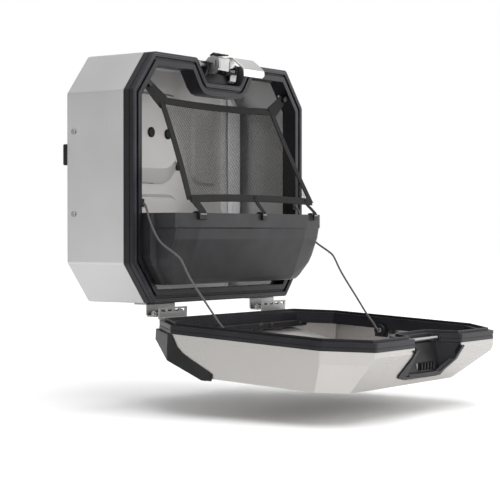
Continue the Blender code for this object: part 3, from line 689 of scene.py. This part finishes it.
def build_net_straps():
    """Corner straps up to the frame's clips, and hook straps down to the tub's rim."""
    for side, label in ((-1, "l"), (1, "r")):
        corner = net_spot(side * 0.97, 0.02)
        clip = place(side * 0.2005, -0.1370, 0.3680)
        strap = webbing(
            f"corner_strap_{label}",
            [corner, corner.lerp(clip, 0.5) + Vector((0, 0, -0.001)), clip],
            [(0.6, 0, -side * 0.8), (0.72, 0, -side * 0.69)],
            [0.028, 0.019],
            0.0016,
        )
        given(strap, "webbing", "case", f"net_strap_{label}")
    for node, x, top_width, foot_width, foot_x in (
        ("hook_strap_l", -0.170, 0.024, 0.017, -0.160),
        ("hook_strap_m", 0.008, 0.012, 0.010, 0.018),
        ("hook_strap_r", 0.166, 0.011, 0.010, 0.182),
    ):
        top = net_spot(x / 0.183, 1.0)
        path = [
            top + Vector((0, -0.0022, 0.006)),
            top + Vector((0, -0.0030, -0.003)),
            place((x + foot_x) / 2, -0.2175, 0.1630),
            place(foot_x, -0.2222, 0.1535),
            place(foot_x, -0.2225, 0.1460),
        ]
        strap = webbing(f"{node}_tape", path, [(1, 0, 0)], [top_width, foot_width], 0.0016)
        hook = prism(
            f"{node}_hook",
            [(-0.2212, 0.1400), (-0.2246, 0.1412), (-0.2246, 0.1498), (-0.2212, 0.1535),
             (-0.2150, 0.1545), (-0.2100, 0.1535), (-0.2100, 0.1450), (-0.2118, 0.1450),
             (-0.2125, 0.1522), (-0.2205, 0.1522)],
            foot_x - foot_width * 0.62,
            foot_x + foot_width * 0.62,
            "X",
            0.0004,
        )
        in_case(hook)
        given(strap, "webbing", "case", node)
        given(hook, "black_plastic", "case")
        buckle = block(
            f"{node}_loop",
            place(foot_x - foot_width * 0.5, -0.2252, 0.1488),
            place(foot_x + foot_width * 0.5, -0.2240, 0.1502),
            0.0003,
        )
        given(buckle, "stainless", "case")


# ---------------------------------------------------------------- back panel


def rounded_outline(corners, radii, steps=6):
    """Corners of a flat outline rounded off, each by its own radius."""
    found = []
    count = len(corners)
    for i, (corner, radius) in enumerate(zip(corners, radii)):
        here = Vector(corner)
        back = Vector(corners[i - 1]) - here
        ahead = Vector(corners[(i + 1) % count]) - here
        if radius <= 0:
            found.append(tuple(here))
            continue
        turn = back.angle(ahead)
        reach = min(radius / math.tan(turn / 2), back.length * 0.49, ahead.length * 0.49)
        start, end = here + back.normalized() * reach, here + ahead.normalized() * reach
        for k in range(steps + 1):
            t = k / steps
            found.append(tuple(start.lerp(here, t).lerp(here.lerp(end, t), t)))
    return found


def pressing(name, outline, base, height, slope, foot_rise=0.0, finish="aluminium_inside"):
    """A raised pressing on the inner face of the back, with sloping sides and soft edges."""
    bpy.ops.object.select_all(action="DESELECT")
    bpy.ops.mesh.primitive_circle_add(vertices=len(outline), radius=0.01, fill_type="NGON")
    obj = bpy.context.active_object
    obj.name = name
    for vertex, (x, z) in zip(obj.data.vertices, outline):
        vertex.co = (x, base, z)
    bpy.ops.object.mode_set(mode="EDIT")
    bpy.ops.mesh.select_all(action="SELECT")
    bpy.ops.mesh.extrude_region_move(TRANSFORM_OT_translate={"value": (0, -0.0008, 0)})
    bpy.ops.mesh.inset(thickness=slope, depth=0, use_even_offset=True)
    bpy.ops.transform.translate(value=(0, -height, 0))
    bpy.ops.object.mode_set(mode="OBJECT")
    foot = min(v.co.z for v in obj.data.vertices)
    for vertex in obj.data.vertices:
        if vertex.co.y < base - 0.002 and vertex.co.z < foot + 0.03:
            vertex.co.z += foot_rise
    bpy.ops.object.mode_set(mode="EDIT")
    bpy.ops.mesh.select_all(action="SELECT")
    bpy.ops.mesh.normals_make_consistent(inside=False)
    bpy.ops.object.mode_set(mode="OBJECT")
    settled(obj)
    eased(obj, 0.0022, 4, 8)
    return given(in_case(obj), "aluminium_body", "case", finish=finish)


def build_back():
    upper = [(-0.225, 0.372), (-0.225, 0.208), (0.042, 0.208), (0.042, 0.372)]
    pressing(
        "back_pressing_upper",
        rounded_outline(upper, (0.010, 0.010, 0.050, 0.020)),
        -0.0080,
        0.0060,
        0.005,
        0.022,
    )
    lower = [(-0.225, 0.188), (-0.225, 0.070), (0.046, 0.070), (0.046, 0.188)]
    pressing("back_pressing_lower", rounded_outline(lower, (0.01, 0.01, 0.03, 0.03)), -0.0080, 0.005, 0.006)
    inner = [(0.092, 0.360), (0.092, 0.206), (0.168, 0.206), (0.168, 0.360)]
    pressing("back_pressing_middle", rounded_outline(inner, (0.02, 0.03, 0.01, 0.01)), -0.0032, 0.005, 0.006)
    # The right rib gets pale, nearly matt aluminium, a painted highlight for the bright reflection band on
    # it.
    rib = [(0.187, 0.392), (0.187, 0.030), (0.240, 0.030), (0.240, 0.350)]
    pressing(
        "back_rib_right",
        rounded_outline(rib, (0.006, 0.006, 0.006, 0.006)),
        -0.0032,
        0.0110,
        0.006,
        finish="rib_aluminium_painted_highlight",
    )
    for node, x, z in (("back_plug_1", -0.0395, 0.2990), ("back_plug_2", 0.0085, 0.2975)):
        plug = turned(
            f"{node}_cap",
            [(0.0084, 0.0), (0.0094, 0.0006), (0.0094, 0.0026),
             (0.0074, 0.0042), (0.0040, 0.0038), (0.0012, 0.0036)],
            (x, -0.0138, z),
            "-Y",
            28,
        )
        given(in_case(plug), "black_plastic", "case", node)


# ---------------------------------------------------------------- latch


def build_latch():
    """Housing trim, the lever over it in a lighter aluminium that paints a highlight, and the hook works
    below.
    """
    section = [
        (-0.1450, 0.4262), (-0.1600, 0.4274), (-0.1685, 0.4262), (-0.1900, 0.4092),
        (-0.1928, 0.4050), (-0.1932, 0.3925), (-0.1908, 0.3922), (-0.1903, 0.4035),
        (-0.1880, 0.4066), (-0.1675, 0.4232), (-0.1600, 0.4246), (-0.1450, 0.4236),
    ]
    lever = prism("lever_plate", section, -0.0015, 0.0615, "X", 0.0)
    corner = prism(
        "corner_cutter",
        [(0.0460, 0.3790), (0.0760, 0.3790), (0.0760, 0.4010), (0.0640, 0.4010),
         (0.0605, 0.3965), (0.0560, 0.3935), (0.0520, 0.3905), (0.0460, 0.3830)],
        -0.2000,
        -0.1800,
        "Y",
        0.0,
    )
    back = prism(
        "back_cutter",
        [(0.0520, -0.1430), (0.0560, -0.1475), (0.0600, -0.1530), (0.0640, -0.1700), (0.0760, -0.1700),
         (0.0760, -0.1300), (0.0520, -0.1300)],
        0.4100,
        0.4400,
        "Z",
        0.0,
    )
    cut_with(lever, [corner, back])
    eased(lever, 0.0007, 3)
    hub = turned(
        "lever_hub",
        [(0.0040, 0.0), (0.0060, 0.0008), (0.0060, 0.0292), (0.0040, 0.0300)],
        (0.0040, -0.1380, 0.4120),
        "X",
    )
    web = block("lever_web", (0.0060, -0.1475, 0.4135), (0.0330, -0.1400, 0.4242), 0.0005)
    whole = joined("lever_plate", [lever, hub, web])
    # The lever's lighter aluminium is a painted highlight.
    given(in_case(whole), "aluminium_lever", "latch", "latch_lever")

    nose = prism(
        "housing_nose",
        [(-0.0345, -0.1600), (-0.0185, -0.1745), (-0.0025, -0.1600)],
        0.4030,
        0.4230,
        "Z",
        0.0,
    )
    for vertex in nose.data.vertices:
        if vertex.co.z < 0.41 and vertex.co.y < -0.165:
            vertex.co = Vector((-0.0140, -0.1690, 0.4000))
    eased(nose, 0.0006, 2)
    given(in_case(nose), "cast_latch", "latch")

    # Thin black strips on the housing's face paint the dark gaps of its slots: painted shade.
    slot_shade_strips = [
        block("slot_upright", (-0.0357, -0.1452, 0.4060), (-0.0349, -0.1436, 0.4150), 0.0003),
        block("slot_across", (-0.0357, -0.1500, 0.4142), (-0.0349, -0.1436, 0.4156), 0.0003),
        block("slot_drop", (-0.0357, -0.1500, 0.4120), (-0.0349, -0.1488, 0.4156), 0.0003),
        block("slot_front", (-0.0357, -0.1575, 0.4080), (-0.0349, -0.1560, 0.4200), 0.0003),
    ]
    given(in_case(joined("housing_slot_shade", slot_shade_strips)), "black_plastic", "latch")

    works = [
        block("cradle", (-0.0240, -0.1640, 0.3968), (-0.0020, -0.1450, 0.4036), 0.0008),
        block("cradle_tongue", (-0.0200, -0.1690, 0.3945), (-0.0060, -0.1600, 0.3990), 0.0008),
        block("cradle_cheek", (0.0165, -0.1620, 0.3950), (0.0205, -0.1440, 0.4100), 0.0008),
    ]
    given(in_case(joined("hook_works", works)), "black_plastic", "latch")
    for index, x in enumerate((-0.0285, -0.0040)):
        screw = turned(
            f"housing_screw_{index}",
            [(0.0016, 0.0), (0.0021, 0.0004), (0.0021, 0.0010), (0.0014, 0.0014), (0.0008, 0.0010)],
            (x, -0.1455, 0.4275),
            "Z",
            20,
        )
        given(in_case(screw), "stainless", "latch")
    ball = turned(
        "pivot_cap",
        [(0.0022, 0.0), (0.0038, 0.0010), (0.0044, 0.0026),
         (0.0040, 0.0044), (0.0022, 0.0056), (0.0006, 0.0060)],
        (-0.0590, -0.1380, 0.4120),
        "-X",
        24,
    )
    given(in_case(ball), "stainless", "case")


# ---------------------------------------------------------------- latch recess

SLOPE = Matrix(
    ((1, 0, 0, 0), (0, 0.4997, 0.8662, -0.4210), (0, -0.8662, 0.4997, -0.0230), (0, 0, 0, 1))
)


def on_slope(obj):
    """Moves a piece drawn across (X), down (Y) and into (Z) the lid's sloping front."""
    obj.matrix_world = LID_TURN @ SLOPE
    return settled(obj)


def build_recess():
    rim = [
        (-0.0805, -0.0060), (-0.0805, 0.0095), (-0.0815, 0.0120), (-0.0920, 0.0420), (-0.0900, 0.0460),
        (-0.0690, 0.0505), (0.0430, 0.0520), (0.0480, 0.0500), (0.0805, 0.0225), (0.0815, 0.0190),
        (0.0815, -0.0060), (0.0725, -0.0060), (0.0725, 0.0190), (0.0705, 0.0215), (0.0440, 0.0440),
        (0.0400, 0.0465), (-0.0630, 0.0455), (-0.0665, 0.0430), (-0.0700, 0.0140), (-0.0715, 0.0100),
        (-0.0715, -0.0060),
    ]
    border = prism("recess_border", rim, -0.0022, 0.0012, "Z", 0.0)
    eased(border, 0.0007, 3)
    given(on_slope(border), "black_plastic", "lid")
    lip = [
        (-0.0708, -0.0060), (-0.0708, 0.0100), (-0.0693, 0.0142), (-0.0655, 0.0425), (-0.0625, 0.0448),
        (0.0395, 0.0458), (0.0433, 0.0434), (0.0698, 0.0212), (0.0718, 0.0186), (0.0718, -0.0060),
        (0.0708, -0.0060), (0.0708, 0.0183), (0.0690, 0.0207), (0.0427, 0.0425), (0.0390, 0.0446),
        (-0.0610, 0.0420), (-0.0630, 0.0405), (-0.0668, 0.0138), (-0.0682, 0.0098), (-0.0682, -0.0060),
    ]
    step = prism("recess_lip", lip, -0.0010, 0.0040, "Z", 0.0)
    eased(step, 0.0006, 2)
    given(on_slope(step), "frame_plastic", "lid")
    shelf = block("recess_shelf", (-0.0560, -0.4010, -0.0640), (0.0420, -0.3915, -0.0600), 0.0008)
    given(lid_turned(shelf), "frame_plastic", "lid")
    for index in range(5):
        fin = block(
            f"grille_fin_{index}",
            (-0.0085 + 0.0100 * index, -0.3965, -0.0570),
            (-0.0055 + 0.0100 * index, -0.3885, -0.0450),
            0.0006,
        )
        given(lid_turned(fin), "black_plastic", "lid")
    for x in (-0.0520, 0.0520):
        stand = block(
            "strike_stand", (x - 0.0030, -0.3950, -0.0110), (x + 0.0030, -0.3850, -0.0035), 0.0008
        )
        given(lid_turned(stand), "black_plastic", "lid")


# ---------------------------------------------------------------- hinges


def build_hinge_trim():
    """Screw heads on the hinge leaves."""
    for side in (-1, 1):
        for k in (-1, 0, 1):
            head = turned(
                f"lid_hinge_rivet_{side}_{k}",
                [(0.0016, 0.0), (0.0026, 0.0003), (0.0026, 0.0008), (0.0016, 0.0016), (0.0005, 0.0018)],
                (side * 0.150 + k * 0.026, -0.0035, -0.0188),
                "Y",
                20,
            )
            given(lid_turned(head), "stainless", "lid")


# ---------------------------------------------------------------- corner guards


def build_guard_pads():
    """Broad moulded faces of the corner guards, on the lid's side and on its cut corner."""
    for side, label in ((-1, "l"), (1, "r")):
        flank = [
            (-0.0660, -0.0146), (-0.0700, -0.0150),
            (-0.0735, -0.0210), (-0.0815, -0.0340), (-0.0930, -0.0430),
            (-0.1092, -0.0507), (-0.1446, -0.0660), (-0.1540, -0.0705), (-0.1550, -0.0815),
            (-0.1370, -0.0818), (-0.0660, -0.0572),
        ]
        pad = prism(f"guard_flank_{label}", flank, side * 0.2542, side * 0.2500, "X", 0.0)
        eased(pad, 0.0014, 3)
        corner = [
            (-0.0040, -0.0146), (0.0868, -0.0146), (0.0868, -0.0572), (0.0600, -0.0490),
            (0.0200, -0.0385), (-0.0040, -0.0335),
        ]
        cheek = prism(f"guard_cheek_{label}", corner, -0.0001, 0.0042, "Y", 0.0)
        eased(cheek, 0.0014, 3)
        along = Vector((side * 0.054, -0.067, 0)).normalized()
        out = Vector((side * 0.067, 0.054, 0)).normalized()
        for vertex in cheek.data.vertices:
            e, h, down = vertex.co
            vertex.co = Vector((side * 0.196, 0, down)) + along * e + out * h
        whole = joined(f"guard_pad_{label}", [pad, cheek])
        bpy.ops.object.mode_set(mode="EDIT")
        bpy.ops.mesh.select_all(action="SELECT")
        bpy.ops.mesh.normals_make_consistent(inside=False)
        bpy.ops.object.mode_set(mode="OBJECT")
        smoothed(whole, 48)
        modified(whole, "WEIGHTED_NORMAL", weight=80, keep_sharp=True)
        given(lid_turned(whole), "black_plastic", "lid")


# ---------------------------------------------------------------- lid inside


def build_lid_inside():
    """Clips on the hinge wall, the discs' screws and the inner lip."""
    for index, (x, wide) in enumerate(((0.060, 0.007), (0.095, 0.005), (0.188, 0.005), (0.205, 0.005))):
        clip = turned(
            f"lid_clip_{index}",
            [(wide * 0.7, 0.0), (wide, 0.0010), (wide, 0.0030), (wide * 0.6, 0.0048), (0.0012, 0.0052)],
            (x, -0.0262, -0.0210),
            "-Y",
            24,
        )
        given(lid_turned(clip), "black_plastic", "lid")
    bar = block("lid_hinge_bar", (-0.1300, -0.0290, -0.0265), (0.2000, -0.0230, -0.0150), 0.0012)
    given(lid_turned(bar), "black_plastic", "lid")
    for side, label in ((-1, "l"), (1, "r")):
        screw = turned(
            f"disc_screw_{label}",
            [(0.0030, 0.0), (0.0042, 0.0006), (0.0042, 0.0018),
             (0.0026, 0.0024), (0.0016, 0.0016), (0.0004, 0.0016)],
            (side * 0.2226, -0.1790, -0.0225),
            "-X" if side > 0 else "X",
            24,
        )
        given(lid_turned(screw), "stainless", "lid")
        ring = turned(
            f"disc_ring_{label}",
            [(0.0100, 0.0), (0.0108, 0.0004), (0.0108, 0.0014),
             (0.0094, 0.0024), (0.0074, 0.0014), (0.0060, 0.0010)],
            (side * 0.2227, -0.1790, -0.0225),
            "-X" if side > 0 else "X",
            32,
        )
        given(lid_turned(ring), "black_plastic", "lid")


# ---------------------------------------------------------------- frame


def frame_ring(amount):
    """The frame's outline with its dip, brought in by AMOUNT."""
    w, h = 0.250 - amount, 0.4210 - amount
    cx, cz = 0.054, 0.067
    k = amount * 0.41
    half = [
        (0.0770 - k, h), (0.250 - cx - k, h), (w, 0.4210 - cz - k), (w, cz + k), (0.250 - cx - k, amount),
    ]
    right = half
    left = [(-x, z) for x, z in reversed(half)]
    dip = [(-0.0490 - k, 0.3800 - amount), (0.0490 + k, 0.3800 - amount)]
    return right + left + dip


# The frame's front face, and how deep a raised line is rooted in it
FRAME_FACE = -0.1483
BEAD_ROOT = 0.0008


def build_frame_trim():
    """Thin raised lines round the frame's front face, in a lighter plastic that paints a highlight along
    them.
    """
    for name, amount, wide, high in (
        ("outer", 0.0030, 0.0014, 0.0005),
        ("middle", 0.0066, 0.0008, 0.0004),
    ):
        outer, inner = frame_ring(amount), frame_ring(amount + wide)
        rim = rounded_outline(outer, [0.006] * len(outer), 4)
        gap = rounded_outline(inner, [0.005] * len(inner), 4)
        bead = prism(f"frame_bead_{name}", rim, FRAME_FACE - high, FRAME_FACE + BEAD_ROOT, "Y", 0.0)
        hole = prism("bead_cutter", gap, -0.1600, -0.1400, "Y", 0.0)
        cut_with(bead, [hole])
        eased(bead, 0.0003, 2)
        given(in_case(bead), "frame_plastic", "case", finish="frame_painted_highlight")


def build_case_fixings():
    """Clips' screws at the opening's top corners, and the dark ribbed strip on the floor behind the frame."""
    section = [(-0.1330, 0.0030), (-0.1330, 0.0110)]
    crest, groove, pitch = 0.0112, 0.0076, 0.0150
    for rib in range(6):
        front = -0.1290 + pitch * rib
        section += [(front, crest), (front + 0.0030, groove)]
        section += [(front + 0.0100, groove), (front + 0.0125, crest)]
    section += [(-0.0380, 0.0030)]
    strip = prism("floor_strip", section, -0.1700, 0.1700, "X", 0.0)
    eased(strip, 0.0006, 2)
    given(in_case(strip), "black_plastic", "case")
    for side, label in ((-1, "l"), (1, "r")):
        for index, (x, z) in enumerate(((0.1985, 0.3740), (0.2095, 0.3600))):
            screw = turned(
                f"clip_screw_{label}_{index}",
                [(0.0018, 0.0), (0.0030, 0.0005), (0.0030, 0.0012), (0.0018, 0.0022), (0.0006, 0.0024)],
                (side * x, -0.1290, z),
                "-Y",
                20,
            )
            given(in_case(screw), "stainless", "case")


# ---------------------------------------------------------------- camera and studio


def build_camera():
    data = bpy.data.cameras.new("camera")
    data.sensor_width = 36.0
    data.lens = 112.2
    data.clip_start = 0.05
    data.clip_end = 60.0
    camera = bpy.data.objects.new("camera", data)
    bpy.context.scene.collection.objects.link(camera)
    camera.location = place(-2.22228, -1.78183, 0.12129)
    camera.rotation_euler = (math.pi / 2 - 0.01215, 0, -0.95363)
    bpy.context.scene.camera = camera


def light(name, spot, aim, size, power):
    data = bpy.data.lights.new(name, "AREA")
    data.shape = "RECTANGLE"
    data.size, data.size_y = size
    data.energy = power
    lamp = bpy.data.objects.new(name, data)
    bpy.context.scene.collection.objects.link(lamp)
    lamp.location = spot
    lamp.rotation_euler = (Vector(aim) - Vector(spot)).to_track_quat("-Z", "Y").to_euler()
    return lamp


def build_studio():
    scene = bpy.context.scene
    scene.view_settings.view_transform = "Standard"
    world = bpy.data.worlds.new("studio")
    scene.world = world
    world.use_nodes = True
    tree = world.node_tree
    tree.nodes.clear()
    out = tree.nodes.new("ShaderNodeOutputWorld")
    lit = tree.nodes.new("ShaderNodeBackground")
    seen = tree.nodes.new("ShaderNodeBackground")
    mix = tree.nodes.new("ShaderNodeMixShader")
    path = tree.nodes.new("ShaderNodeLightPath")
    where = tree.nodes.new("ShaderNodeTexCoord")
    split = tree.nodes.new("ShaderNodeSeparateXYZ")
    ramp = tree.nodes.new("ShaderNodeMapRange")
    ramp.inputs["From Min"].default_value = -0.6
    ramp.inputs["From Max"].default_value = 0.9
    ramp.inputs["To Min"].default_value = 0.42
    ramp.inputs["To Max"].default_value = 1.05
    tree.links.new(where.outputs["Generated"], split.inputs[0])
    tree.links.new(split.outputs["Z"], ramp.inputs["Value"])
    tree.links.new(ramp.outputs[0], lit.inputs["Strength"])
    seen.inputs["Strength"].default_value = 1.0
    seen.inputs["Color"].default_value = (1, 1, 1, 1)
    tree.links.new(path.outputs["Is Camera Ray"], mix.inputs[0])
    tree.links.new(lit.outputs[0], mix.inputs[1])
    tree.links.new(seen.outputs[0], mix.inputs[2])
    tree.links.new(mix.outputs[0], out.inputs[0])

    light("key", (-1.6, -1.9, 2.0), (0, -0.25, -0.1), (1.6, 1.6), 34)
    light("top", (0.3, -0.4, 2.3), (0, -0.3, -0.2), (2.4, 2.4), 36)
    light("right", (2.3, -1.6, 0.7), (0, -0.3, -0.1), (1.2, 1.8), 14)
    light("inside", (0.25, -2.4, 0.35), (0.05, 0, 0.0), (0.9, 0.9), 16)

    bpy.ops.object.select_all(action="DESELECT")
    bpy.ops.mesh.primitive_plane_add(size=30, location=(0, 0, BASE - 0.178))
    floor = bpy.context.active_object
    floor.name = "floor"
    paint = Finish("studio_floor", Roughness=0.95)
    paint.shader.inputs["Base Color"].default_value = (0.93, 0.93, 0.93, 1)
    where = paint.node("ShaderNodeTexCoord", output="Object")
    reach = paint.node("ShaderNodeVectorMath", {"operation": "LENGTH"}, [where], "Value")
    far = paint.spread(reach, 0.7, 2.6)
    paint.feed("Emission Color", paint.between(far, (0, 0, 0, 1), (1, 1, 1, 1)))
    paint.shader.inputs["Emission Strength"].default_value = 0.35
    paint.shader.inputs["Specular IOR Level"].default_value = 0.0
    floor.data.materials.append(paint.material)


# ---------------------------------------------------------------- everything

for node, obj in NODES.items():
    obj.data.materials.clear()
    obj.data.materials.append(FINISHES[SLOT_OF[node]])

build_camera()
build_cords()
build_net()
build_net_straps()
build_back()
build_studio()

for node, name, width, segments in (
    ("body_frame", "case_frame", 0.0007, 2),
    ("rear_mount_rail", "mount_rail", 0.0006, 2),
    ("lid_frame", "lid_ring", 0.0007, 2),
    ("latch_keeper", "keeper", 0.0005, 2),
    ("corner_guard_l", "guard_l", 0.0009, 2),
    ("corner_guard_r", "guard_r", 0.0009, 2),
    ("latch_housing", "housing", 0.0005, 2),
    ("latch_hook", "hook", 0.0005, 2),
    ("latch_base", "latch_bracket", 0.0005, 2),
    ("hinge_case_l", "hinge_leaf_case_l", 0.0004, 2),
    ("hinge_case_r", "hinge_leaf_case_r", 0.0004, 2),
    ("hinge_lid_l", "hinge_leaf_lid_l", 0.0004, 2),
    ("hinge_lid_r", "hinge_leaf_lid_r", 0.0004, 2),
):
    finished(node, name, width, segments)

for node, name, fold, rim, inward in (
    ("storage_tub", "tub", 0.0016, 0.0007, None),
    ("body_shell", "case_wrap", 0.0024, 0.0004, None),
    ("lid_shell", "lid_cover", 0.0026, 0.0004, (0, 0, 1)),
    ("back_panel", "case_back", 0.0012, 0.0004, (0, -1, 0)),
):
    sheet = eased_sheet(cleaned(node, name), fold, rim)
    given(sheet, SLOT_OF[node], BODY_OF[node], node)
    if inward:
        sheet.data.materials.append(FINISHES["aluminium_inside"])
        for face in sheet.data.polygons:
            if face.normal.dot(Vector(inward)) > 0.25:
                face.material_index = 1
build_latch()
build_recess()
build_hinge_trim()
build_guard_pads()
build_lid_inside()
build_frame_trim()
build_case_fixings()
